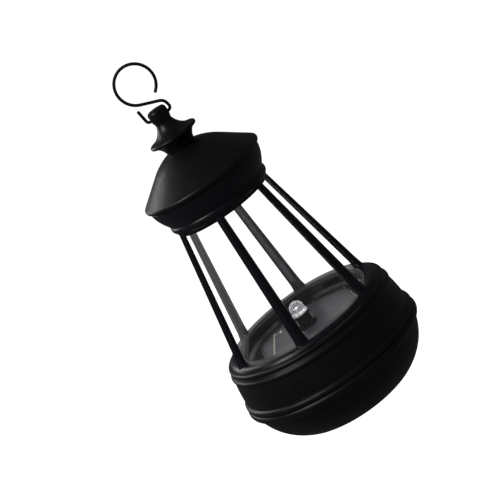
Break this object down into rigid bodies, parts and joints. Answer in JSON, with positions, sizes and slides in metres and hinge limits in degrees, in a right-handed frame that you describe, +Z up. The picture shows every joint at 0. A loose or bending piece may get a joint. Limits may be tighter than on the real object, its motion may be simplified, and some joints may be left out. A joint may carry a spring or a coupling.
{
  "type": "solar garden light",
  "caption": "Hanging garden lantern: bowl base with battery and switch, ribbed cage with clear shade, solar panel and LED on its floor, roof, finial and wire hook.",
  "frame": {"origin": "centre of the flat underside of the base", "axes": "+Z up the lantern's axis to the hook, one rib at -Y, the hook's wire lies in the X-Z plane at rest"},
  "size_m": [0.128, 0.128, 0.2565],
  "materials": {
    "case_plastic": "satin moulded ABS, black",
    "tray_plastic": "glossy black moulded plastic",
    "clear_plastic": "clear polystyrene, polished",
    "panel_cell": "epoxy-coated silicon cells",
    "led_clear": "clear LED epoxy",
    "grey_plastic": "grey moulded plastic",
    "board_green": "solder mask over glass fibre",
    "chip_black": "moulded chip package",
    "coil_green": "lacquered axial inductor",
    "capacitor_blue": "shrink-sleeved can",
    "sleeve_green": "shrink sleeve, plain",
    "wire_red": "PVC wire insulation",
    "wire_black": "PVC wire insulation",
    "seal_rubber": "soft silicone",
    "hook_wire": "black-painted steel wire",
    "steel": "zinc-plated steel",
    "tinned_copper": "tinned copper ribbon and solder"
  },
  "bodies": {
    "body": {"base_bowl": "case_plastic", "base_shell": "case_plastic", "band_seal": "seal_rubber", "base_screws": "steel", "cage": "case_plastic", "cage_screws": "steel", "clear_shade": "clear_plastic", "shade_gasket": "seal_rubber", "panel_tray": "tray_plastic", "panel_bezel": "tray_plastic", "solar_panel": "panel_cell", "panel_bus_bar": "tinned_copper", "led_holder": "tray_plastic", "led_ring": "grey_plastic", "led_lens": "led_clear", "led_leads": "steel", "roof": "case_plastic", "roof_screws": "steel", "finial": "case_plastic", "finial_screw": "steel", "finial_washer": "steel", "battery_holder": "case_plastic", "contact_spring": "steel", "contact_plate": "steel", "circuit_board": "board_green", "board_screws": "steel", "controller_chip": "chip_black", "inductor": "coil_green", "capacitor": "capacitor_blue", "switch_body": "chip_black", "switch_gasket": "seal_rubber", "switch_screws": "steel", "switch_terminals": "steel", "panel_wires": "wire_red", "battery_wires": "wire_red", "switch_wires": "wire_black"},
    "hook": {"hanging_hook": "hook_wire"},
    "door": {"battery_door": "case_plastic", "door_seal": "seal_rubber", "door_screws": "steel"},
    "battery": {"battery_can": "steel", "battery_sleeve": "sleeve_green"},
    "switch": {"switch_knob": "grey_plastic"}
  },
  "joints": [
    {"name": "hook_swing", "type": "hinge", "parent": "body", "child": "hook", "pos_m": [0, 0, 0.21864], "axis": [1, 0, 0], "range_deg": [-115, 115]},
    {"name": "battery_door_off", "type": "slide", "parent": "body", "child": "door", "axis": [0, 0, -1], "range_m": [0, 0.05]},
    {"name": "battery_lift", "type": "slide", "parent": "body", "child": "battery", "axis": [0, 0, -1], "range_m": [0, 0.025]},
    {"name": "switch_slide", "type": "slide", "parent": "body", "child": "switch", "axis": [1, 0, 0], "range_m": [0, 0.0036]}
  ],
  "couplings": [
    {"joint": "battery_lift", "follows": "battery_door_off", "ratio": 0.5}
  ]
}
